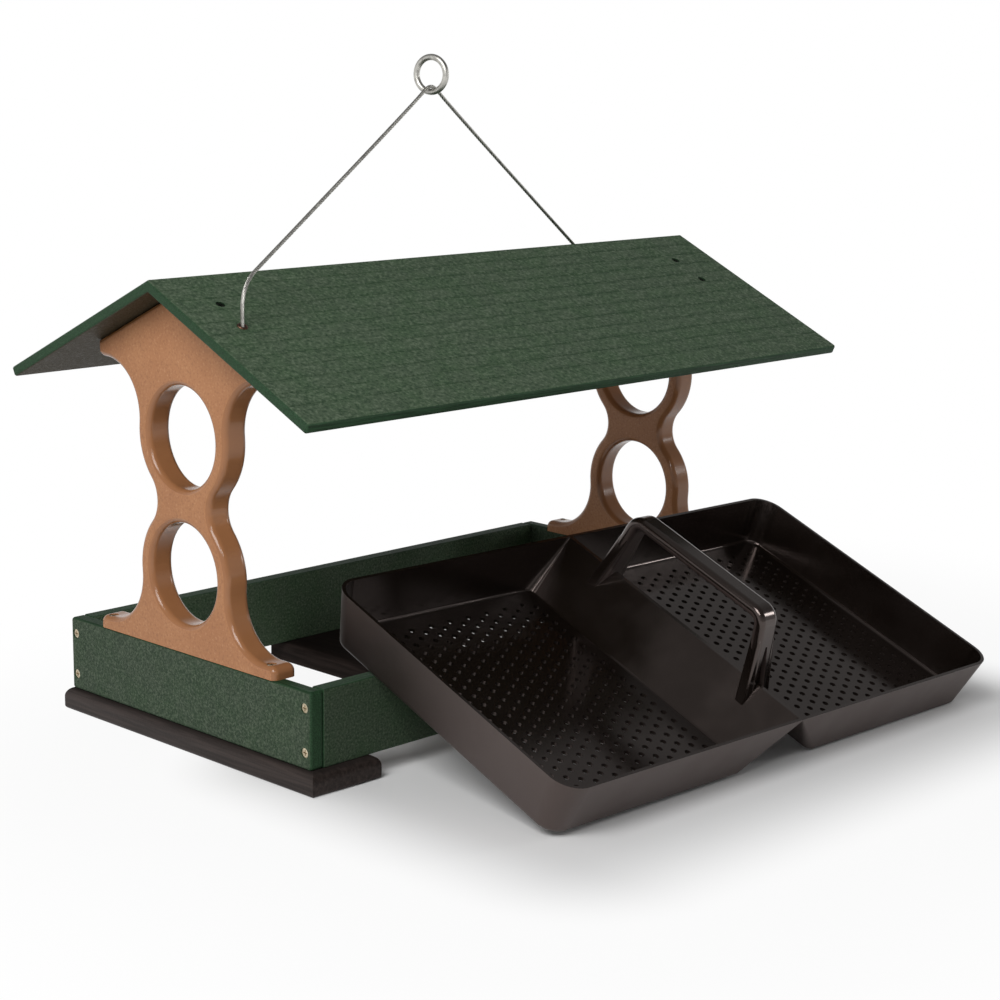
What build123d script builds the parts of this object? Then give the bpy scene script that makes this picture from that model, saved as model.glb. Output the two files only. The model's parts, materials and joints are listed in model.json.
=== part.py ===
from build123d import *
import os
from math import asin, atan2, cos, degrees, hypot, pi, radians, sin, sqrt, tan

# A fly-through bird feeder of plastic lumber, with a hanging cable and a lift-out seed tray.
# Sizes are in millimetres and angles in degrees. X runs along the ridge, -Y is the front and +Z is up.
# The origin is under the middle slat, on the surface that the feeder stands on.

# Base frame
frame_length = 528.0
frame_width = 288.0
board_height = 58.0
board_thickness = 12.7
board_edge_radius = 1.0
end_board_edge_radius = 2.5
rail_thickness = 18.0
rail_width = 66.0
rail_side_overhang = 3.5
rail_end_overhang = 6.5
rail_edge_radius = 3.0
rail_top_radius = 8.0
slat_width = 108.0

# Uprights
upright_thickness = 22.0
upright_roundover = 5.0
hole_radius = 38.5
ring_radius = 52.0
lower_hole_height = 60.1
hole_spacing = 102.7
waist_half_width = 31.6
sweep_radius = 41.0
foot_tip_height = 10.0
foot_tip_length = 12.0
shoulder_half_width = 99.6
shoulder_tip_height = 12.0
tip_corner_radius = 6.0

# Roof
roof_length = 594.0
roof_shift = 6.0
roof_half_width = 175.0
roof_rise = 82.0
roof_thickness = 8.0
roof_edge_radius = 2.0
ridge_height = 356.5
groove_spacing = 15.5
groove_width = 1.6
groove_depth = 0.5

# Screws
shank_radius = 1.8
head_radius = 3.6
head_depth = 2.2
head_sink = 0.7
recess_length = 4.2
recess_width = 1.0
recess_depth = 1.0
screw_point = 4.0
screw_clearance = 0.1
corner_screw_length = 35.0
corner_screw_margin = 12.5
foot_screw_length = 32.0
foot_screw_inset = 9.5
roof_screw_length = 30.0
roof_screw_inner = 36.0
roof_screw_outer = 66.0
base_screw_length = 40.0
rail_screw_spacing = 100.0
slat_screw_spacing = 36.0

# Hanging cable
cable_diameter = 3.0
cable_offset = 64.0
cable_shift = -3.0
cable_hole_clearance = 0.5
cable_left_bend_height = 356.0
cable_right_bend_height = 331.5
cable_apex = (-10.5, 0.0, 491.0)
cable_left_bend_radius = 28.0
cable_right_bend_radius = 15.0
sleeve_diameter = 8.0
sleeve_length = 12.0
sleeve_clearance = 0.3
sleeve_grip = 0.05
ring_wire_diameter = 5.0
ring_bore = 22.0
ring_clearance = 0.3

# Seed tray
tray_length = 499.0
tray_width = 261.0
tray_depth = 46.0
tray_draft = 8.5
tray_wall = 2.6
floor_thickness = 2.6
floor_lift = 7.0
skirt_width = 6.0
rim_corner_radius = 20.0
base_corner_radius = 15.0
tray_bottom_radius = 5.0
crest_width = 3.8
ridge_foot = 42.0
ridge_rim_radius = 1.5
ridge_base_radius = 7.0
floor_cove_radius = 3.0
floor_border = 7.0
floor_hole_diameter = 5.0
floor_hole_pitch = 11.2
floor_column_pitch = 9.8
floor_hole_margin = 2.0

# Tray handle
handle_foot_spacing = 166.0
handle_top_spacing = 136.0
handle_height = 58.0
handle_width = 20.0
handle_thickness = 10.0
handle_edge_radius = 4.6
handle_bend_radius = 10.0
handle_leg_depth = 16.0
flare_width = 31.0
flare_top_width = 18.0
flare_length = 52.0
flare_inset = 0.3
flare_edge_radius = 2.0
leg_groove_width = 15.0
leg_groove_top_width = 2.0
leg_groove_length = 46.0
leg_groove_depth = 4.0

# The tray leans on the front board, with one corner of its front edge on the ground.
tray_shift = 35.0
tray_turn = -1.2
tray_overlap = 77.3
tray_board_gap = 0.1
tray_ground_gap = 0.3

# Derived places
frame_top = rail_thickness + board_height
roof_slope = atan2(roof_rise, roof_half_width)
side_board_y = (frame_width - board_thickness) / 2
end_board_x = (frame_length - board_thickness) / 2
upright_x = (frame_length - upright_thickness) / 2
lower_hole_z = frame_top + lower_hole_height
upper_hole_z = lower_hole_z + hole_spacing
waist_z = (lower_hole_z + upper_hole_z) / 2
sweep_z = frame_top + foot_tip_height + sweep_radius
sweep_y = sqrt((ring_radius + sweep_radius) ** 2 - (sweep_z - lower_hole_z) ** 2)
foot_half_width = sweep_y + foot_tip_length
crest_half = crest_width / 2


def roof_top(y):
    """Height of the roof's upper face."""
    return ridge_height - abs(y) * tan(roof_slope)


def roof_underside(y):
    """Height of the roof's lower face, where the uprights meet it."""
    return roof_top(y) - roof_thickness / cos(roof_slope)


def save(name, shape):
    export_step(shape, f"parts/{name}.step")


# Screws: one turned form with a cross recess, and the hole that it fits.
def turned(points):
    return revolve(Plane.XZ * make_face(Polyline(*points, close=True)), Axis.Z)


def screw(length):
    """A countersunk screw under Z = 0, with its head towards +Z."""
    head_top = -head_sink
    neck = head_top - head_depth
    profile = [
        (0, head_top),
        (head_radius, head_top),
        (shank_radius, neck),
        (shank_radius, screw_point - length),
        (0, -length),
    ]
    slot = Box(recess_length, recess_width, 2 * recess_depth)
    return turned(profile) - Pos(0, 0, head_top) * (slot + Rot(0, 0, 90) * slot)


def screw_hole(length):
    """The hole for such a screw, open above Z = 0."""
    head_hole = head_radius + screw_clearance
    shank_hole = shank_radius + screw_clearance
    profile = [
        (0, upright_roundover),
        (head_hole, upright_roundover),
        (head_hole, -head_sink),
        (shank_hole, -head_sink - head_depth),
        (shank_hole, -length - screw_clearance),
        (0, -length - screw_clearance),
    ]
    return turned(profile)


def seat(x, y, z, outward):
    return Plane(origin=(x, y, z), z_dir=outward)


def roof_seat(x, y):
    side = 1 if y > 0 else -1
    return seat(x, y, roof_top(y), (0, side * sin(roof_slope), cos(roof_slope)))


corner_heights = (rail_thickness + corner_screw_margin, frame_top - corner_screw_margin)
corner_seats = {
    side: [
        seat(side * frame_length / 2, end * side_board_y, height, (side, 0, 0))
        for end in (-1, 1)
        for height in corner_heights
    ]
    for side in (-1, 1)
}
foot_screw_y = foot_half_width - foot_screw_inset
foot_seats = {
    side: [
        seat(side * end_board_x, end * foot_screw_y, frame_top + foot_tip_height, (0, 0, 1))
        for end in (-1, 1)
    ]
    for side in (-1, 1)
}
# Each upright has an outer roof screw on one side of the ridge and the cable on the other.
roof_seats = {
    side: [
        roof_seat(side * upright_x, -roof_screw_inner),
        roof_seat(side * upright_x, roof_screw_inner),
        roof_seat(side * upright_x, -side * roof_screw_outer),
    ]
    for side in (-1, 1)
}
rail_seats = {
    side: [
        seat(side * end_board_x, step * rail_screw_spacing, 0, (0, 0, -1))
        for step in (-1, 0, 1)
    ]
    for side in (-1, 1)
}
slat_seats = {
    end: [
        seat(side * slat_screw_spacing, end * side_board_y, 0, (0, 0, -1))
        for side in (-1, 1)
    ]
    for end in (-1, 1)
}


def screws(seats, length):
    return [place * screw(length) for place in seats]


def screw_holes(seats, length):
    return [place * screw_hole(length) for place in seats]


def all_seats(groups):
    return [place for group in groups.values() for place in group]


# Base frame: boards with eased edges, on rails and a slat with rounded edges.
def board(length, width, height, edge_radius):
    block = Box(length, width, height)
    return fillet(block.edges(), edge_radius)


def end_board(side):
    blank = board(board_thickness, frame_width, board_height, end_board_edge_radius)
    placed = Pos(side * end_board_x, 0, rail_thickness + board_height / 2) * blank
    placed -= screw_holes(corner_seats[side], corner_screw_length)
    placed -= screw_holes(foot_seats[side], foot_screw_length)
    return placed - screw_holes(rail_seats[side], base_screw_length)


def side_board(end):
    inner_length = frame_length - 2 * board_thickness
    blank = board(inner_length, board_thickness, board_height, board_edge_radius)
    placed = Pos(0, end * side_board_y, rail_thickness + board_height / 2) * blank
    placed -= screw_holes(all_seats(corner_seats), corner_screw_length)
    return placed - screw_holes(slat_seats[end], base_screw_length)


def slat(width):
    """A bottom slat on the ground, with a wide round on its upper edges and a small one below."""
    block = Box(width, frame_width + 2 * rail_end_overhang, rail_thickness)
    eased = fillet(block.faces().sort_by(Axis.Z)[-1].edges(), rail_top_radius)
    rounded = fillet(eased.faces().sort_by(Axis.Z)[0].edges(), rail_edge_radius)
    return Pos(0, 0, rail_thickness / 2) * rounded


def base_rail(side):
    rail_x = frame_length / 2 + rail_side_overhang - rail_width / 2
    rail = Pos(side * rail_x, 0, 0) * slat(rail_width)
    return rail - screw_holes(rail_seats[side], base_screw_length)


# Uprights: two rings, a waist, feet and shoulders, drawn as one half and mirrored.
def arc_between(centre, radius, start, end):
    """The shorter arc about a centre from one point to another."""
    middle = (start + end) / 2 - centre
    return ThreePointArc(start, centre + middle.normalized() * radius, end)


def upright_half():
    ring_low = Vector(0, lower_hole_z)
    ring_high = Vector(0, upper_hole_z)
    sweep_low = Vector(sweep_y, sweep_z)
    shoulder_low = roof_underside(shoulder_half_width) - shoulder_tip_height
    sweep_high_z = shoulder_low - sweep_radius
    sweep_high_y = sqrt((ring_radius + sweep_radius) ** 2 - (sweep_high_z - upper_hole_z) ** 2)
    sweep_high = Vector(sweep_high_y, sweep_high_z)
    waist_radius = (waist_half_width**2 + hole_spacing**2 / 4 - ring_radius**2) / (
        2 * (ring_radius - waist_half_width)
    )
    waist = Vector(waist_half_width + waist_radius, waist_z)

    foot_join = ring_low + (sweep_low - ring_low).normalized() * ring_radius
    waist_low = ring_low + (waist - ring_low).normalized() * ring_radius
    waist_high = ring_high + (waist - ring_high).normalized() * ring_radius
    shoulder_join = ring_high + (sweep_high - ring_high).normalized() * ring_radius

    toe_top = frame_top + foot_tip_height
    toe = Vector(sweep_y, toe_top)
    toe_end = Vector(foot_half_width - tip_corner_radius, toe_top)
    toe_side = Vector(foot_half_width, toe_top - tip_corner_radius)
    toe_centre = Vector(foot_half_width - tip_corner_radius, toe_top - tip_corner_radius)
    tip = Vector(sweep_high_y, shoulder_low)
    tip_end = Vector(shoulder_half_width - tip_corner_radius, shoulder_low)
    tip_side = Vector(shoulder_half_width, shoulder_low + tip_corner_radius)
    tip_centre = Vector(shoulder_half_width - tip_corner_radius, shoulder_low + tip_corner_radius)

    outline = [
        Polyline((0, roof_underside(0)), (0, frame_top), (foot_half_width, frame_top), toe_side),
        arc_between(toe_centre, tip_corner_radius, toe_side, toe_end),
        Line(toe_end, toe),
        arc_between(sweep_low, sweep_radius, toe, foot_join),
        arc_between(ring_low, ring_radius, foot_join, waist_low),
        arc_between(waist, waist_radius, waist_low, waist_high),
        arc_between(ring_high, ring_radius, waist_high, shoulder_join),
        arc_between(sweep_high, sweep_radius, shoulder_join, tip),
        Line(tip, tip_end),
        arc_between(tip_centre, tip_corner_radius, tip_end, tip_side),
        Polyline(
            tip_side,
            (shoulder_half_width, roof_underside(shoulder_half_width)),
            (0, roof_underside(0)),
        ),
    ]
    return make_face([edge for piece in outline for edge in piece.edges()])


def rounded_over(edge):
    """True for the outline's edges on both faces, but not where the upright meets the board."""
    middle = edge.position_at(0.5)
    along_face = abs(edge.position_at(0).X - edge.position_at(1).X) < 0.01
    on_face = abs(abs(middle.X) - upright_thickness / 2) < 0.01
    on_board = abs(middle.Z - frame_top) < 0.01
    return along_face and on_face and not on_board


def upright(side):
    half = upright_half()
    outline = half + mirror(half, Plane.YZ)
    outline -= [Pos(0, height) * Circle(hole_radius) for height in (lower_hole_z, upper_hole_z)]
    blank = extrude(Plane.YZ * outline, upright_thickness / 2, both=True)
    shaped = Pos(side * upright_x, 0, 0) * fillet(blank.edges().filter_by(rounded_over), upright_roundover)
    shaped -= screw_holes(foot_seats[side], foot_screw_length)
    shaped -= screw_holes(roof_seats[side], roof_screw_length)
    return shaped - cable_pocket(side)


# Roof: two panels mitred at the ridge, with fine grooves along their length. It sits a little to the right.
def roof_panel(end):
    eave = Vector(roof_half_width, roof_top(roof_half_width))
    inward = Vector(-sin(roof_slope), -cos(roof_slope))
    section = Polyline(
        (0, ridge_height),
        eave,
        eave + inward * roof_thickness,
        (0, roof_underside(0)),
        close=True,
    )
    blank = extrude(Plane.YZ * make_face(section), roof_length / 2, both=True)
    outer_edges = blank.edges().filter_by(lambda edge: edge.center().Y > roof_edge_radius)
    eased = fillet(outer_edges, roof_edge_radius)

    slope_length = hypot(roof_half_width, roof_rise)
    groove = Polyline((-groove_width / 2, 0), (groove_width / 2, 0), (0, -groove_depth), close=True)
    bar = extrude(Plane.YZ * make_face(groove), roof_length / 2, both=True)
    count = int(slope_length / groove_spacing) - 1
    for index in range(count):
        run = (index + 1) * groove_spacing * cos(roof_slope)
        eased -= Pos(0, run, roof_top(run)) * Rot(-degrees(roof_slope), 0, 0) * bar

    panel = Pos(roof_shift, 0, 0) * (eased if end > 0 else mirror(eased, Plane.XZ))
    for side in (-1, 1):
        panel -= screw_holes(roof_seats[side], roof_screw_length)
        panel -= cable_bore(side)
    return panel


# Hanging cable: it leaves each upright through the roof, and its two straight legs meet in a ring.
sleeve_pocket = sleeve_diameter / 2 + sleeve_clearance
sleeve_top = roof_underside(cable_offset + sleeve_pocket) - sleeve_clearance
sleeve_bottom = sleeve_top - sleeve_length
cable_left_x = cable_shift - upright_x
cable_right_x = cable_shift + upright_x
cable_points = [
    (cable_left_x, -cable_offset, sleeve_bottom),
    (cable_left_x, -cable_offset, cable_left_bend_height),
    cable_apex,
    (cable_right_x, cable_offset, cable_right_bend_height),
    (cable_right_x, cable_offset, sleeve_bottom),
]


def upright_bar(side, radius, low, high):
    """A vertical round bar on the line where the cable enters one upright."""
    bar = Cylinder(radius, high - low, align=(Align.CENTER, Align.CENTER, Align.MIN))
    return Pos(cable_shift + side * upright_x, side * cable_offset, low) * bar


def cable_pocket(side):
    return upright_bar(side, sleeve_pocket, sleeve_bottom - sleeve_clearance, ridge_height)


def cable_bore(side):
    radius = cable_diameter / 2 + cable_hole_clearance
    return upright_bar(side, radius, sleeve_bottom, ridge_height)


def cable_stop(side):
    sleeve = upright_bar(side, sleeve_diameter / 2, sleeve_bottom, sleeve_top)
    return sleeve - upright_bar(side, cable_diameter / 2 + sleeve_grip, sleeve_bottom, sleeve_top)


left_leg = Vector(*cable_apex) - Vector(*cable_points[1])
right_leg = Vector(*cable_points[3]) - Vector(*cable_apex)
apex_turn = left_leg.get_angle(right_leg)
apex_radius = (ring_wire_diameter + cable_diameter) / 2 + ring_clearance
cable_radii = [cable_left_bend_radius, apex_radius, cable_right_bend_radius]


def hanger_cable():
    path = FilletPolyline(*cable_points, radius=cable_radii)
    section = Pos(*cable_points[0]) * Circle(cable_diameter / 2)
    tube = sweep(section, path)
    section_volume = pi * cable_diameter**2 / 4 * path.length
    print(f"cable length {path.length:.1f}, apex arc {apex_radius:.1f}")
    print(f"cable volume {tube.volume:.1f}, section times length {section_volume:.1f}")
    return tube


def hanger_ring():
    """A plain ring that stands square to the cable, with the cable over its lowest point."""
    wire_drop = apex_radius / cos(radians(apex_turn / 2))
    ring_middle_radius = (ring_bore + ring_wire_diameter) / 2
    heading = degrees(atan2(cable_offset, upright_x))
    ring = Rot(0, 90, 0) * Torus(ring_middle_radius, ring_wire_diameter / 2)
    place = Vector(*cable_apex) + Vector(0, 0, ring_middle_radius - wire_drop)
    return Pos(*place) * Rot(0, 0, heading) * ring


# Seed tray, drawn level with its rim at Z = 0: two basins on low skirts, with a ridge between them.
floor_z = floor_lift - tray_depth
floor_share = -floor_z / tray_depth
ridge_run = ridge_foot + crest_half
cavity_end = tray_length / 2 - tray_draft * floor_share - tray_wall
cavity_side = tray_width / 2 - tray_draft * floor_share - tray_wall
cavity_ridge = ridge_run * floor_share + crest_half


def basin_outline(end_x, ridge_x, half_width, end_radius, ridge_radius, height):
    """A level outline of the left basin, with its own corner radius at the ridge."""
    outline = Pos((end_x + ridge_x) / 2, 0) * Rectangle(ridge_x - end_x, 2 * half_width)
    outline = fillet(outline.vertices().sort_by(Axis.X)[:2], end_radius)
    outline = fillet(outline.vertices().sort_by(Axis.X)[-2:], ridge_radius)
    return Pos(0, 0, height) * outline


def at_height(height):
    return lambda edge: abs(edge.center().Z - height) < 0.01


def basin_outside():
    rim = basin_outline(
        -tray_length / 2, crest_half, tray_width / 2, rim_corner_radius, ridge_rim_radius, 0
    )
    base = basin_outline(
        tray_draft - tray_length / 2,
        -ridge_foot,
        tray_width / 2 - tray_draft,
        base_corner_radius,
        ridge_base_radius,
        -tray_depth,
    )
    form = loft([rim, base], ruled=True)
    return fillet(form.edges().filter_by(at_height(-tray_depth)), tray_bottom_radius)


def basin_inside():
    rim = basin_outline(
        tray_wall - tray_length / 2,
        -crest_half,
        tray_width / 2 - tray_wall,
        rim_corner_radius - tray_wall,
        ridge_rim_radius,
        0,
    )
    base = basin_outline(
        -cavity_end,
        -cavity_ridge,
        cavity_side,
        base_corner_radius - tray_wall,
        ridge_base_radius,
        floor_z,
    )
    form = loft([rim, base], ruled=True)
    return fillet(form.edges().filter_by(at_height(floor_z)), floor_cove_radius)


window_end = cavity_end - floor_border
window_ridge = cavity_ridge + floor_border
window_side = cavity_side - floor_border
window_length = window_end - window_ridge
window_x = -(window_end + window_ridge) / 2


def basin_underside():
    """The hollow under the floor, inside the skirt that the basin stands on."""
    outline = basin_outline(
        tray_draft + skirt_width - tray_length / 2,
        -ridge_foot - skirt_width,
        tray_width / 2 - tray_draft - skirt_width,
        base_corner_radius - skirt_width,
        ridge_base_radius - skirt_width,
        -tray_depth,
    )
    return extrude(outline, floor_lift - floor_thickness, dir=(0, 0, 1))


def tray_shell():
    outside = basin_outside()
    inside = basin_inside()
    plate = Box(window_length, 2 * window_side, floor_thickness)
    window = Pos(window_x, 0, floor_z - floor_thickness / 2) * plate
    opened = inside + window + basin_underside()
    return outside + mirror(outside, Plane.YZ) - opened - mirror(opened, Plane.YZ)


def hole_row(span, pitch, shift):
    """Places of one row of holes, centred on the span, every other row shifted by half a pitch."""
    free = span - floor_hole_diameter - 2 * floor_hole_margin - pitch / 2
    count = int(free / pitch) + 1
    first = -(count - 1) * pitch / 2 - pitch / 4 + shift
    return [first + index * pitch for index in range(count)]


def tray_floor():
    """The left basin's floor plate: one face with staggered drain holes, given its thickness."""
    border = Wire.make_rect(window_length, 2 * window_side)
    holes = []
    free = window_length - floor_hole_diameter - 2 * floor_hole_margin
    columns = int(free / floor_column_pitch) + 1
    for column in range(columns):
        x = (column - (columns - 1) / 2) * floor_column_pitch
        shift = floor_hole_pitch / 2 * (column % 2)
        for y in hole_row(2 * window_side, floor_hole_pitch, shift):
            holes.append(Wire.make_circle(floor_hole_diameter / 2, Plane((x, y, 0))))
    print(f"holes in each tray floor {len(holes)}")
    plate = extrude(Face(border, holes), floor_thickness, dir=(0, 0, 1))
    return Pos(window_x, 0, floor_z - floor_thickness) * plate


handle_foot = handle_foot_spacing / 2
handle_top = handle_top_spacing / 2
handle_bar_z = handle_height - handle_thickness / 2


def handle_leg_place(end):
    """The plane in the middle of one leg, with Y up along the leg and Z outwards."""
    foot = Vector(0, end * handle_foot, -handle_leg_depth)
    along = Vector(0, end * handle_top, handle_bar_z) - foot
    across = Vector(-end, 0, 0)
    return Plane(origin=foot, x_dir=across, z_dir=across.cross(along))


def tapered(foot_width, top_width, length):
    """A flat outline that narrows up along a leg."""
    foot_half = foot_width / 2
    top_half = top_width / 2
    outline = Polyline((-foot_half, 0), (foot_half, 0), (top_half, length), (-top_half, length), close=True)
    return make_face(outline)


def leg_flare():
    outline = tapered(flare_width, flare_top_width, flare_length)
    flare = extrude(outline, handle_thickness / 2 - flare_inset, both=True)
    return fillet(flare.edges().filter_by(Axis.Z, reverse=True), flare_edge_radius)


def leg_groove():
    groove = extrude(tapered(leg_groove_width, leg_groove_top_width, leg_groove_length), handle_thickness)
    return Pos(0, 0, handle_thickness / 2 - leg_groove_depth) * groove


def tray_handle():
    """A bail over the ridge, with legs that flare to grooved feet cut to the ridge's slopes."""
    route = [
        Vector(0, handle_foot, -handle_leg_depth),
        Vector(0, handle_top, handle_bar_z),
        Vector(0, -handle_top, handle_bar_z),
        Vector(0, -handle_foot, -handle_leg_depth),
    ]
    path = FilletPolyline(*route, radius=handle_bend_radius)
    section = RectangleRounded(handle_width, handle_thickness, handle_edge_radius)
    start = Plane(origin=route[0], x_dir=(1, 0, 0), z_dir=route[1] - route[0])
    bail = sweep(start * section, path)
    for end in (-1, 1):
        bail += handle_leg_place(end) * leg_flare()
        bail -= handle_leg_place(end) * leg_groove()
    ridge = Polyline(
        (-crest_half, 0),
        (crest_half, 0),
        (cavity_ridge, floor_z),
        (-cavity_ridge, floor_z),
        close=True,
    )
    return bail - extrude(Plane.XZ * make_face(ridge), tray_width / 2, both=True)


# The tray's place: its underside lies on the front board's edge, and its lowest corner on the ground.
wall_lean = atan2(tray_draft, tray_depth)
bottom_inset = tray_draft + tray_bottom_radius * (1 - sin(wall_lean)) / cos(wall_lean)
turn = radians(tray_turn)
reach = (
    tray_overlap
    + (tray_width / 2 - bottom_inset) * cos(turn)
    + (tray_length / 2 - bottom_inset) * abs(sin(turn))
)
lift = tray_bottom_radius + tray_board_gap
drop = frame_top - tray_bottom_radius - tray_ground_gap
tray_tilt = asin(drop / hypot(reach, lift)) + atan2(lift, reach)
tray_normal = Vector(0, -sin(tray_tilt), cos(tray_tilt))
tray_back = Vector(0, cos(tray_tilt), sin(tray_tilt))
tray_right = Vector(1, 0, 0)
board_edge = Vector(tray_shift, -frame_width / 2, frame_top)
tray_centre = board_edge + tray_normal * (tray_board_gap + tray_depth) - tray_back * tray_overlap
tray_place = Plane(
    origin=tray_centre,
    x_dir=tray_right * cos(turn) + tray_back * sin(turn),
    z_dir=tray_normal,
)
print(f"tray tilt {degrees(tray_tilt):.3f}, rim centre {tuple(tray_centre)}, lift axis {tuple(tray_normal)}")

os.makedirs("parts", exist_ok=True)

for side, name in ((-1, "left"), (1, "right")):
    save(f"end_board_{name}", end_board(side))
    save(f"base_rail_{name}", base_rail(side))
    save(f"upright_{name}", upright(side))
    save(f"corner_screws_{name}", Compound(children=screws(corner_seats[side], corner_screw_length)))
    save(f"cable_stop_{name}", cable_stop(side))

for end, name in ((-1, "front"), (1, "back")):
    save(f"side_board_{name}", side_board(end))
    save(f"roof_panel_{name}", roof_panel(end))

slat_holes = screw_holes(all_seats(slat_seats), base_screw_length)
save("base_slat_middle", slat(slat_width) - slat_holes)
save("foot_screws", Compound(children=screws(all_seats(foot_seats), foot_screw_length)))
save("roof_screws", Compound(children=screws(all_seats(roof_seats), roof_screw_length)))
base_seats = all_seats(rail_seats) + all_seats(slat_seats)
save("base_screws", Compound(children=screws(base_seats, base_screw_length)))
save("hanger_cable", hanger_cable())
save("hanger_ring", hanger_ring())

floor_plate = tray_floor()
save("tray_shell", tray_place * tray_shell())
save("tray_floor_left", tray_place * floor_plate)
save("tray_floor_right", tray_place * mirror(floor_plate, Plane.YZ))
save("tray_handle", tray_place * tray_handle())
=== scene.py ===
# %% [markdown]
# # A fly-through bird feeder, dressed for a photograph
# The feeder is built from boards of recycled plastic lumber: green roof and frame, tan uprights, dark
# rails. A black seed tray leans against its front board, and a steel cable hangs it up.
# The solid pieces come ready-made from the frame, at their real size in metres. This lesson gives them
# their finishes, twists the cable out of wires, and sets up the camera, the floor and the light.

# %% Load the frame
import bpy
import bmesh
import json
from math import atan2, cos, pi, radians, sin
from mathutils import Matrix, Vector


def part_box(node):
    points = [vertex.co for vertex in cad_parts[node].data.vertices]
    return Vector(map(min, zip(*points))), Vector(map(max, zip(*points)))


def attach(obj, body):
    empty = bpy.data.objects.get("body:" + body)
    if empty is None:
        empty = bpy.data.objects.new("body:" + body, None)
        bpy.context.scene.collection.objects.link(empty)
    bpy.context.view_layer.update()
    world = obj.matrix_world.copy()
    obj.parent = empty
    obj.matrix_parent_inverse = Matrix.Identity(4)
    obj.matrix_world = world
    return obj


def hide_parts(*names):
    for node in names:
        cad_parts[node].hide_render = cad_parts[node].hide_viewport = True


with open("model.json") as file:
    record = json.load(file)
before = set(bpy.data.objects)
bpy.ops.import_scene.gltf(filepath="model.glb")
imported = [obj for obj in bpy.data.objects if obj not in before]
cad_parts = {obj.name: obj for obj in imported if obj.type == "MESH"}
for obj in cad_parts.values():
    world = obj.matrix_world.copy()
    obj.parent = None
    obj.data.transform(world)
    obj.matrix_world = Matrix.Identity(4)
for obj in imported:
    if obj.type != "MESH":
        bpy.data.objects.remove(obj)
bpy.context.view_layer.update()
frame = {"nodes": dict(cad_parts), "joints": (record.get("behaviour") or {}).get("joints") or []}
nodes = frame["nodes"]

# %% [markdown]
# ## The camera
# The picture was taken from the front left, a little above the roof's eave. Its direction is two angles
# and a slight roll, and its distance is measured along that direction from the feeder's origin. The
# camera then steps right and up in its own plane, which frames the feeder without turning the view.

# %% Camera
view_azimuth = radians(-45.80)
view_elevation = radians(11.79)
view_roll = radians(0.70)
view_distance = 1.8593
step_right = 0.0529
step_up = 0.1521
sensor_width = 36.0
image_width = 1000
focal_pixels = 2220.06

back = Vector((
    sin(view_azimuth) * cos(view_elevation),
    -cos(view_azimuth) * cos(view_elevation),
    sin(view_elevation),
))
level_right = (-back).cross(Vector((0, 0, 1))).normalized()
level_up = level_right.cross(-back)
right = cos(view_roll) * level_right + sin(view_roll) * level_up
up = cos(view_roll) * level_up - sin(view_roll) * level_right

camera_data = bpy.data.cameras.new("camera")
camera_data.sensor_width = sensor_width
camera_data.lens = sensor_width * focal_pixels / image_width
camera = bpy.data.objects.new("camera", camera_data)
bpy.context.collection.objects.link(camera)
turn = Matrix((right, up, back)).transposed().to_4x4()
camera.matrix_world = Matrix.Translation(back * view_distance + right * step_right + up * step_up) @ turn
bpy.context.scene.camera = camera
print("camera at", [round(v, 3) for v in camera.matrix_world.translation], "lens", round(camera_data.lens, 2))

# %% [markdown]
# ## Shader maths as expressions
# A finish is mostly arithmetic on patterns. Clicking Math nodes together hides that, so a small class
# wraps a socket and lets Python's own operators add the nodes. A second class is the node tree, with one
# method that makes any other node from its type, its settings and its inputs. A material is such a tree too.


# %% Socket and finish
class Pattern:
    """A socket that takes part in arithmetic."""

    def __init__(self, nodes, socket):
        self.nodes = nodes
        self.socket = socket

    def maths(self, operation, *values):
        inputs = dict(enumerate(values))
        return self.nodes.node("ShaderNodeMath", {"operation": operation}, inputs)

    def __add__(self, other):
        return self.maths("ADD", self, other)

    def __radd__(self, other):
        return self.maths("ADD", other, self)

    def __sub__(self, other):
        return self.maths("SUBTRACT", self, other)

    def __rsub__(self, other):
        return self.maths("SUBTRACT", other, self)

    def __mul__(self, other):
        return self.maths("MULTIPLY", self, other)

    def __rmul__(self, other):
        return self.maths("MULTIPLY", other, self)

    def absolute(self):
        return self.maths("ABSOLUTE", self)

    def above(self, low, high):
        """0 under low, 1 over high, and a smooth step between them."""
        settings = {"interpolation_type": "SMOOTHSTEP"}
        return self.nodes.node("ShaderNodeMapRange", settings, {0: self, 1: low, 2: high})


class Nodes:
    """A node tree, with one method that makes any node in it."""

    def __init__(self, tree):
        self.tree = tree

    def node(self, kind, settings=None, inputs=None, output=0):
        """Any node: its settings first, then its inputs, and one of its outputs back."""
        made = self.tree.nodes.new(kind)
        for key, value in (settings or {}).items():
            setattr(made, key, value)
        for key, value in (inputs or {}).items():
            self.feed(made.inputs[key], value)
        return Pattern(self, made.outputs[output])

    def feed(self, socket, value):
        if isinstance(value, Pattern):
            self.tree.links.new(value.socket, socket)
        else:
            socket.default_value = value


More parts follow.
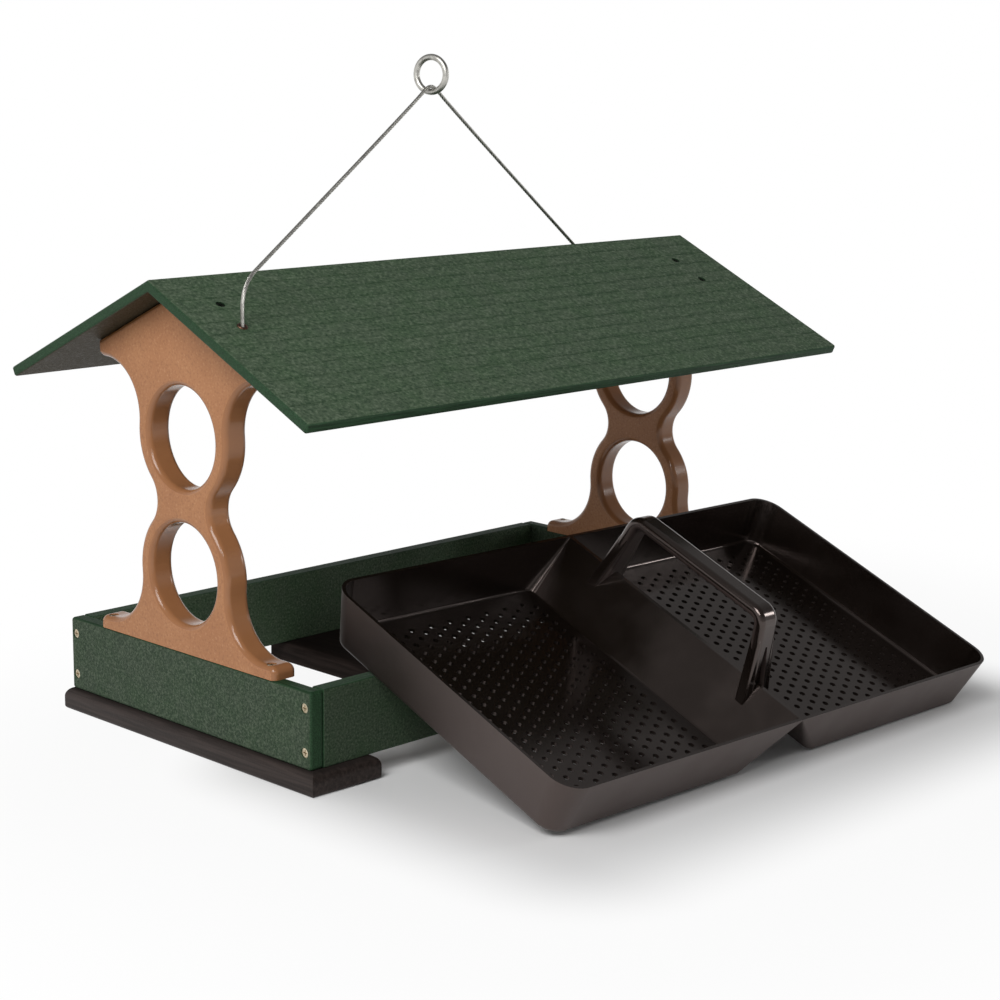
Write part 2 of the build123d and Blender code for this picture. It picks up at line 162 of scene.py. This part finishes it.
class Finish(Nodes):
    """A material made of nodes, with its Principled shader ready to be fed."""

    def __init__(self, name):
        self.material = bpy.data.materials.new(name)
        self.material.use_nodes = True
        super().__init__(self.material.node_tree)
        self.shader = self.tree.nodes["Principled BSDF"]
        self.place = self.node("ShaderNodeTexCoord", output="Object")

    def set(self, **inputs):
        """Feeds the shader's sockets, with spaces in their names written as underscores."""
        for key, value in inputs.items():
            self.feed(self.shader.inputs[key.replace("_", " ")], value)

    def stretched(self, scale):
        """The place on the piece, scaled by its own amount along each axis."""
        return self.node("ShaderNodeMapping", {}, {"Vector": self.place, "Scale": scale})

    def noise(self, scale, detail, roughness, where=None):
        inputs = {"Vector": where or self.place, "Scale": scale, "Detail": detail, "Roughness": roughness}
        return self.node("ShaderNodeTexNoise", {}, inputs)

    def blend(self, factor, first, second):
        """A colour between two colours."""
        return self.node("ShaderNodeMix", {"data_type": "RGBA"}, {0: factor, 6: first, 7: second}, 2)

    def facing(self, direction):
        """How squarely the surface faces a direction, from -1 to 1."""
        normal = self.node("ShaderNodeNewGeometry", output="Normal")
        inputs = {0: normal, 1: direction}
        return self.node("ShaderNodeVectorMath", {"operation": "DOT_PRODUCT"}, inputs, "Value")

    def bump(self, height, distance, strength):
        inputs = {"Height": height, "Distance": distance, "Strength": strength}
        return self.node("ShaderNodeBump", {}, inputs)


def rgb(red, green, blue):
    return (red, green, blue, 1.0)


def dress(finish, *names):
    """Puts a finish on solid pieces of the frame."""
    for name in names:
        slots = nodes[name].data.materials
        slots.clear()
        slots.append(finish.material)
    print(finish.material.name, "on", ", ".join(names))


# %% [markdown]
# ## Floor and light
# The feeder stands on white in an even light. Under the tray the floor is an ordinary pale surface, so the
# ground seen through the drain holes is dark, and all round it fades to a plain glowing white that still
# keeps a soft shadow. Only a look at the floor, straight or in a reflection, sees the glow, so it adds no
# light to the feeder. The world is white near the horizon and dim overhead and in front, which gives glossy
# black plastic both pale and dark to reflect. One large soft lamp on the left makes the left faces the
# brightest, as they are in the picture, and two small weak ones in front put glints on rounded edges.

# %% Floor
floor_size = 60.0
near_fade, far_fade = 0.12, 0.5
near_share = 0.9
tray_low, tray_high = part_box("tray_shell")
tray_middle = [(low + high) / 2 for low, high in zip(tray_low, tray_high)]
tray_reach = [(high - low) / 2 for low, high in zip(tray_low, tray_high)]
floor_mesh = bpy.data.meshes.new("floor")
floor_shape = bmesh.new()
bmesh.ops.create_grid(floor_shape, x_segments=1, y_segments=1, size=floor_size / 2)
floor_shape.to_mesh(floor_mesh)
floor_shape.free()
floor = bpy.data.objects.new("floor", floor_mesh)
bpy.context.collection.objects.link(floor)

pale = Finish("pale_floor")
pale.set(Base_Color=rgb(0.80, 0.80, 0.80), Roughness=0.9)


def past_tray(axis):
    """How far a point of the floor lies outside the tray's box along one axis."""
    place = pale.node("ShaderNodeSeparateXYZ", {}, {0: pale.place}, "XYZ"[axis])
    past = (place - tray_middle[axis]).absolute() - tray_reach[axis]
    return past.maths("MAXIMUM", past, 0)


square = past_tray(0) * past_tray(0) + past_tray(1) * past_tray(1)
distance = square.maths("SQRT", square)
near_glow = near_share * distance.above(0.0, near_fade)
glow_share = near_glow + (1 - near_share) * distance.above(near_fade, far_fade)
looks = ("Is Camera Ray", "Is Glossy Ray", "Is Transmission Ray")
looked_at = sum(pale.node("ShaderNodeLightPath", output=look) for look in looks)
seen = looked_at.maths("MINIMUM", looked_at, 1)
glow = pale.node("ShaderNodeEmission", {}, {"Color": rgb(1, 1, 1), "Strength": 1.0})
surface = Pattern(pale, pale.shader.outputs[0])
mixed = pale.node("ShaderNodeMixShader", {}, {0: glow_share * seen, 1: surface, 2: glow})
pale.feed(pale.tree.nodes["Material Output"].inputs["Surface"], mixed)
floor_mesh.materials.append(pale.material)
print("floor", floor_size, "m square")

# %% World
horizon_light, overhead_light, front_share = 1.0, 0.25, 0.5
world = bpy.data.worlds.new("studio")
world.use_nodes = True
bpy.context.scene.world = world
sky = Nodes(world.node_tree)
direction = sky.node("ShaderNodeTexCoord", output="Generated")
overhead = sky.node("ShaderNodeSeparateXYZ", {}, {0: direction}, "Z").above(0.1, 0.6)
in_front = sky.node("ShaderNodeSeparateXYZ", {}, {0: direction}, "Y").above(0.2, -0.8)
height_light = horizon_light - (horizon_light - overhead_light) * overhead
background = world.node_tree.nodes["Background"]
sky.feed(background.inputs["Color"], height_light * (1 - (1 - front_share) * in_front))
print("world from", horizon_light, "at the horizon to", overhead_light, "overhead")


# %% Lamps
def soft_lamp(name, place, target, size, power):
    data = bpy.data.lights.new(name, "AREA")
    data.shape = "SQUARE"
    data.size = size
    data.energy = power
    lamp = bpy.data.objects.new(name, data)
    lamp.location = place
    lamp.rotation_euler = (Vector(target) - Vector(place)).to_track_quat("-Z", "Y").to_euler()
    bpy.context.collection.objects.link(lamp)
    print(name, "of", power, "W")


soft_lamp("left_lamp", (-2.0, -0.8, 1.8), (0, 0, 0.2), 1.2, 45.0)
soft_lamp("front_lamp", (-1.2, -1.3, 1.2), (0, 0, 0.2), 0.2, 3.5)
soft_lamp("right_lamp", (1.55, -1.35, 0.75), (0, 0, 0.1), 0.3, 3.5)
bpy.context.scene.view_settings.view_transform = "Standard"

# %% [markdown]
# ## The hanging cable
# The real cable is a thin wire rope: six strands laid round each other in a long twist. Its line comes
# first, as a smooth spline guided by a few points: straight up out of the roof, a bend, and a straight leg
# up to the ring. The strands then run round that line, each one as a bevelled curve, and the six
# curves become one mesh. A small bead of steel lies round the cable where it leaves the roof.

# %% Cable line
cable_diameter = 0.003
cable_exit = (-0.256, -0.064, 0.3265)
far_exit = (0.250, 0.064, 0.3265)
left_foot = Vector((-0.256, -0.064, 0.3034))
left_edge = Vector((-0.256, -0.064, 0.319))
left_bend = Vector((-0.256, -0.064, 0.356))
apex = Vector((-0.0105, 0.0, 0.491))
apex_lift = Vector((0.0, 0.0, 0.0028))
right_bend = Vector((0.250, 0.064, 0.3315))
right_edge = Vector((0.250, 0.064, 0.3085))
right_foot = Vector((0.250, 0.064, 0.3034))
ring_reach = 8 * cable_diameter


def along(start, end, distance):
    return start + (end - start).normalized() * distance


cable_points = [
    left_foot,
    left_edge,
    left_bend,
    along(left_bend, apex, (left_bend - left_edge).length),
    along(apex, left_bend, ring_reach),
    apex + apex_lift,
    along(apex, right_bend, ring_reach),
    along(right_bend, apex, (right_bend - right_edge).length),
    right_bend,
    right_edge,
    right_foot,
]


def smooth_line(points, name):
    """The points of a NURBS spline with these control points."""
    curve = bpy.data.curves.new(name, "CURVE")
    curve.dimensions = "3D"
    spline = curve.splines.new("NURBS")
    spline.points.add(len(points) - 1)
    for knot, point in zip(spline.points, points):
        knot.co = (*point, 1.0)
    spline.order_u = 3
    spline.use_endpoint_u = True
    spline.resolution_u = 40
    holder = bpy.data.objects.new(name, curve)
    mesh = bpy.data.meshes.new_from_object(holder)
    line = [vertex.co.copy() for vertex in mesh.vertices]
    bpy.data.objects.remove(holder)
    bpy.data.curves.remove(curve)
    bpy.data.meshes.remove(mesh)
    return line


cable_line = smooth_line(cable_points, "cable_line")


# %% Cable strands
strand_count = 6
strand_radius = cable_diameter / 6
lay_radius = cable_diameter / 2 - strand_radius
lay_length = 0.021
step_length = lay_length / 10


def even_line(line, step):
    """The same line, with points at equal steps along it."""
    points = [line[0]]
    spare = 0.0
    for start, end in zip(line, line[1:]):
        span = (end - start).length
        reach = step - spare
        while reach <= span:
            points.append(start.lerp(end, reach / span))
            reach += step
        spare = span - (reach - step)
    return points


def carried_frames(line):
    """A side direction at each point, carried along the line without twist."""
    heading = (line[1] - line[0]).normalized()
    side = heading.orthogonal().normalized()
    frames = []
    for index in range(len(line)):
        ahead = line[min(index + 1, len(line) - 1)] - line[max(index - 1, 0)]
        ahead.normalize()
        side = (heading.rotation_difference(ahead) @ side).normalized()
        heading = ahead
        frames.append((side, ahead.cross(side)))
    return frames


rope_line = even_line(cable_line, step_length)
rope_frames = carried_frames(rope_line)
strands = bpy.data.curves.new("strands", "CURVE")
strands.dimensions = "3D"
strands.bevel_depth = strand_radius
strands.bevel_resolution = 1
strands.use_fill_caps = True
for strand in range(strand_count):
    spline = strands.splines.new("POLY")
    spline.points.add(len(rope_line) - 1)
    for index, (centre, (side, other)) in enumerate(zip(rope_line, rope_frames)):
        angle = 2 * pi * (strand / strand_count + index * step_length / lay_length)
        offset = side * cos(angle) + other * sin(angle)
        spline.points[index].co = (*(centre + offset * lay_radius), 1.0)
holder = bpy.data.objects.new("strands", strands)
rope_mesh = bpy.data.meshes.new_from_object(holder)
rope_mesh.name = "hanger_rope"
bpy.data.objects.remove(holder)
rope = bpy.data.objects.new("hanger_rope", rope_mesh)
bpy.context.collection.objects.link(rope)
print("strands", strand_count, "faces", len(rope_mesh.polygons))

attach(rope, "feeder")
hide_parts("hanger_cable")

# %% Cable exits
bead_radius = 0.0011
bead_ring_radius = 0.0031
bead_sides, bead_steps = 12, 36


def exit_bead(name, place, outward):
    """A ring of round section that lies on the roof round the cable."""
    shape = bmesh.new()
    ring = []
    for side in range(bead_sides):
        angle = 2 * pi * side / bead_sides
        reach = bead_ring_radius + bead_radius * cos(angle)
        ring.append(shape.verts.new((reach, 0, bead_radius * sin(angle))))
    edges = [shape.edges.new((a, b)) for a, b in zip(ring, ring[1:] + ring[:1])]
    bmesh.ops.spin(
        shape,
        geom=ring + edges,
        cent=(0, 0, 0),
        axis=(0, 0, 1),
        angle=2 * pi,
        steps=bead_steps,
        use_merge=True,
    )
    lean = Vector((0, 0, 1)).rotation_difference(Vector(outward)).to_matrix().to_4x4()
    bmesh.ops.transform(shape, matrix=Matrix.Translation(place) @ lean, verts=shape.verts)
    bmesh.ops.recalc_face_normals(shape, faces=shape.faces)
    mesh = bpy.data.meshes.new(name)
    shape.to_mesh(mesh)
    shape.free()
    mesh.shade_smooth()
    bead = bpy.data.objects.new(name, mesh)
    bpy.context.collection.objects.link(bead)
    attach(bead, "feeder")
    print(name, "faces", len(mesh.polygons))
    return bead


roof_rise, roof_half_width = 0.082, 0.175
roof_slope = atan2(roof_rise, roof_half_width)
panel_out, panel_up = sin(roof_slope), cos(roof_slope)
exit_beads = [
    exit_bead("cable_bead_left", cable_exit, (0, -panel_out, panel_up)),
    exit_bead("cable_bead_right", far_exit, (0, panel_out, panel_up)),
]

# %% [markdown]
# ## Green plastic lumber
# The roof and the frame are sawn from sheets of recycled plastic. Their broad faces are pebbled, which
# scatters a pale sheen over the green, and the sawn edges show the plain, stronger green with fine saw
# lines. The two are told apart by the way a surface faces, so one finish serves a whole board. Each piece's
# green is scaled as painted light and shade: the roof and the back board are painted lighter, the end and
# front boards darker. Rows of grooves run along the roof, and painted shade lies along them in dark broken
# rows that grow darker towards +X.

# %% Green lumber
groove_spacing = 0.0155


def painted_groove_shade(finish, side):
    """Painted shade in dark, broken rows along the roof's grooves, darker towards +X, on the panel towards +Y
    or -Y.
    """
    across = finish.node("ShaderNodeSeparateXYZ", {}, {0: finish.place}, "Y")
    run = across * (side / cos(roof_slope))
    offset = run.maths("PINGPONG", run, groove_spacing / 2)
    streaks = finish.noise(1.0, 2.0, 0.6, finish.stretched((110.0, 420.0, 420.0)))
    along = finish.node("ShaderNodeSeparateXYZ", {}, {0: finish.place}, "X")
    # The painted groove shade grows stronger towards +X.
    return offset.above(0.0042, 0.0008) * streaks.above(0.38, 0.60) * (0.25 + 0.6 * along.above(-0.25, 0.15))


def green_lumber(name, painted_light_shade_scale, coarseness, broad, length_axis, groove_side=0):
    """Green lumber: its skin's colour is scaled up or down as painted light and shade, and pebbled on the
    faces square to broad.
    """
    finish = Finish(name)

    # Scales a colour up or down as painted light and shade.
    def painted_light_shade_colour(red, green, blue):
        return rgb(painted_light_shade_scale * red, painted_light_shade_scale * green, painted_light_shade_scale * blue)

    face = finish.facing(broad)
    skin = (face * face).above(0.5, 0.8)

    pebbles = finish.noise(1 / coarseness, 3.0, 0.65)
    blotches = finish.noise(40.0, 3.0, 0.55)
    pits_and_groove_shade = pebbles.above(0.49, 0.39)
    # On the roof, the painted shade along the grooves joins the pits.
    if groove_side:
        pits_and_groove_shade = pits_and_groove_shade.maths("MAXIMUM", pits_and_groove_shade, painted_groove_shade(finish, groove_side))
    pips = pebbles.above(0.52, 0.64)

    grey, green = painted_light_shade_colour(0.046, 0.070, 0.041), painted_light_shade_colour(0.038, 0.068, 0.034)
    grey_green = finish.blend(blotches.above(0.35, 0.7), grey, green)
    pitted = finish.blend(pits_and_groove_shade * 0.7, grey_green, painted_light_shade_colour(0.012, 0.030, 0.013))
    pipped = finish.blend(pips * 0.5, pitted, painted_light_shade_colour(0.105, 0.138, 0.090))
    if groove_side:
        pipped = finish.blend(face.above(-0.3, -0.6), pipped, rgb(0.037, 0.028, 0.012))

    saw_scale = tuple(30.0 if axis == length_axis else 1400.0 for axis in range(3))
    saw_lines = finish.noise(1.0, 1.0, 0.5, finish.stretched(saw_scale))
    sawn = finish.blend(saw_lines.above(0.35, 0.7), rgb(0.008, 0.028, 0.010), rgb(0.020, 0.058, 0.024))

    relief = (pebbles - pits_and_groove_shade * 0.3) * skin + saw_lines * (1 - skin) * 0.4
    finish.set(
        Base_Color=finish.blend(skin, sawn, pipped),
        Roughness=0.62 - 0.12 * pips + 0.08 * blotches,
        Specular_IOR_Level=0.25,
        Normal=finish.bump(relief, 0.0008, 0.5),
    )
    return finish


# The second number is painted light and shade: the roof and the back board are painted lighter, the end and
# front boards darker.
dress(green_lumber("roof_green_front", 1.3, 0.0028, (0, -panel_out, panel_up), 0, -1), "roof_panel_front")
dress(green_lumber("roof_green_back", 1.3, 0.0028, (0, panel_out, panel_up), 0, 1), "roof_panel_back")
dress(green_lumber("end_board_green", 0.8, 0.0018, (1, 0, 0), 1), "end_board_left", "end_board_right")
dress(green_lumber("front_board_green", 0.8, 0.0018, (0, 1, 0), 0), "side_board_front")
dress(green_lumber("back_board_painted_lit_green", 1.3, 0.0018, (0, 1, 0), 0), "side_board_back")

# %% [markdown]
# ## Tan plastic lumber
# The uprights are cut from a tan sheet with a finer skin, and a router has rounded their edges. The cutter
# leaves the rounded edges smoother, with faint chatter marks that break up their highlights, and their
# colour is painted darker than the faces' as painted shade.

# %% Tan lumber
def tan_lumber(name):
    finish = Finish(name)
    face = finish.facing((1, 0, 0))
    skin = (face * face).above(0.82, 0.97)
    grain = finish.noise(520.0, 2.0, 0.6)
    chatter = finish.noise(1.0, 1.0, 0.5, finish.stretched((40.0, 40.0, 420.0)))
    clouds = finish.noise(26.0, 3.0, 0.5)
    warm = finish.blend(clouds.above(0.3, 0.75), rgb(0.340, 0.148, 0.062), rgb(0.378, 0.172, 0.074))
    speckled = finish.blend(grain.above(0.55, 0.72) * 0.4, warm, rgb(0.50, 0.28, 0.15))
    pitted = finish.blend(grain.above(0.46, 0.32) * 0.45, speckled, rgb(0.21, 0.085, 0.038))
    # The rounded edges are painted darker than the faces as painted shade.
    routed_painted_shade = finish.blend(clouds.above(0.3, 0.75), rgb(0.285, 0.124, 0.052), rgb(0.315, 0.140, 0.060))
    finish.set(
        Base_Color=finish.blend(skin, routed_painted_shade, pitted),
        Roughness=0.17 + 0.33 * skin + 0.06 * grain,
        Specular_IOR_Level=0.4,
        Normal=finish.bump(grain * 0.3 * skin + chatter * 0.25 * (1 - skin), 0.0004, 0.4),
    )
    return finish


dress(tan_lumber("upright_tan"), "upright_left", "upright_right")

# %% [markdown]
# ## Dark plastic lumber
# The rails and the slat underneath are nearly black, with a brown cast. Their sides are streaked along the
# grain, their tops are painted darkest as painted shade, and their pebbling is finer than the roof's.

# %% Dark lumber
def dark_lumber(name, roughness, specular):
    finish = Finish(name)
    top = finish.facing((0, 0, 1)).above(0.6, 0.95)
    streaks = finish.noise(1.0, 3.0, 0.6, finish.stretched((320.0, 14.0, 320.0)))
    pebbles = finish.noise(480.0, 2.0, 0.6)
    dust_and_shade = finish.noise(22.0, 4.0, 0.6)
    body = finish.blend(streaks.above(0.3, 0.75), rgb(0.010, 0.0072, 0.0062), rgb(0.034, 0.025, 0.022))
    # The tops are painted darkest as painted shade, more where the noise is high.
    tops_painted_shade = finish.blend(top * (0.6 + 0.4 * dust_and_shade), body, rgb(0.0060, 0.0042, 0.0034))
    finish.set(
        Base_Color=tops_painted_shade,
        Roughness=roughness + 0.10 * dust_and_shade + (0.9 - roughness) * top,
        Specular_IOR_Level=specular,
        Specular_Tint=rgb(1.0, 0.86, 0.82),
        Normal=finish.bump(pebbles + streaks, 0.0004, 0.3),
    )
    return finish


dress(dark_lumber("rail_dark", 0.46, 0.3), "base_rail_left", "base_rail_right")
dress(dark_lumber("slat_dark", 0.75, 0.1), "base_slat_middle")

# %% [markdown]
# ## Black tray plastic
# The tray is one moulding of black plastic. Inside it is polished, so it mirrors the white round it at low
# angles. Outside it has a fine matt texture, and its colour is painted: warm grey towards the front is
# painted light, and black towards the back is painted shade. The tray's walls lean, so the side that faces
# up along the tray's own normal is the polished one.

# %% Tray plastic
tray_normal = tuple(frame["joints"][0]["axis"])
# Along Y, where the painted shade at the back ends and the painted light at the front is full.
painted_shade_back, painted_light_front = -0.12, -0.33


def tray_plastic(name):
    finish = Finish(name)
    inside = finish.facing(tray_normal).above(-0.06, 0.02)
    texture = finish.noise(900.0, 1.0, 0.5)
    smears = finish.noise(16.0, 3.0, 0.6)
    depth = finish.node("ShaderNodeSeparateXYZ", {}, {0: finish.place}, "Y")
    black, painted_light_grey = rgb(0.006, 0.0043, 0.0037), rgb(0.035, 0.0250, 0.0225)
    # Outside, black at the back turning warm grey at the front is painted shade and painted light.
    outside = finish.blend(depth.above(painted_shade_back, painted_light_front), black, painted_light_grey)
    finish.set(
        Base_Color=finish.blend(inside, outside, rgb(0.0048, 0.0033, 0.0025)),
        Roughness=0.44 - 0.30 * inside + 0.07 * smears.above(0.4, 0.7),
        Specular_IOR_Level=0.85,
        Specular_Tint=rgb(1.0, 0.82, 0.76),
        Normal=finish.bump(texture * (1 - inside), 0.00025, 0.3),
    )
    return finish


dress(tray_plastic("tray_black"), "tray_shell", "tray_floor_left", "tray_floor_right", "tray_handle")

# %% [markdown]
# ## Metal
# The screws are brass-plated steel, a little dull, and those in the roof are a dark, dull green close to the
# roof's own. The cable, its sleeves and its ring are plain steel.

# %% Metal finishes
def metal(name, pale, dull, roughness):
    finish = Finish(name)
    stain = finish.noise(260.0, 3.0, 0.6)
    finish.set(
        Base_Color=finish.blend(stain.above(0.35, 0.75), pale, dull),
        Roughness=roughness + 0.15 * stain,
        Metallic=1.0,
    )
    return finish


brass = metal("screw_brass", rgb(0.64, 0.55, 0.40), rgb(0.40, 0.33, 0.22), 0.28)
roof_screw_green = metal("roof_screw_brass", rgb(0.030, 0.040, 0.026), rgb(0.012, 0.018, 0.011), 0.50)
steel = metal("cable_steel", rgb(0.55, 0.54, 0.50), rgb(0.33, 0.32, 0.30), 0.30)
dress(brass, "corner_screws_left", "corner_screws_right", "foot_screws", "base_screws")
dress(roof_screw_green, "roof_screws")
dress(steel, "hanger_ring", "cable_stop_left", "cable_stop_right", "hanger_cable")
rope_mesh.materials.append(steel.material)
rusty = metal("bead_steel", rgb(0.16, 0.09, 0.06), rgb(0.06, 0.032, 0.022), 0.40)
for bead in exit_beads:
    bead.data.materials.append(rusty.material)
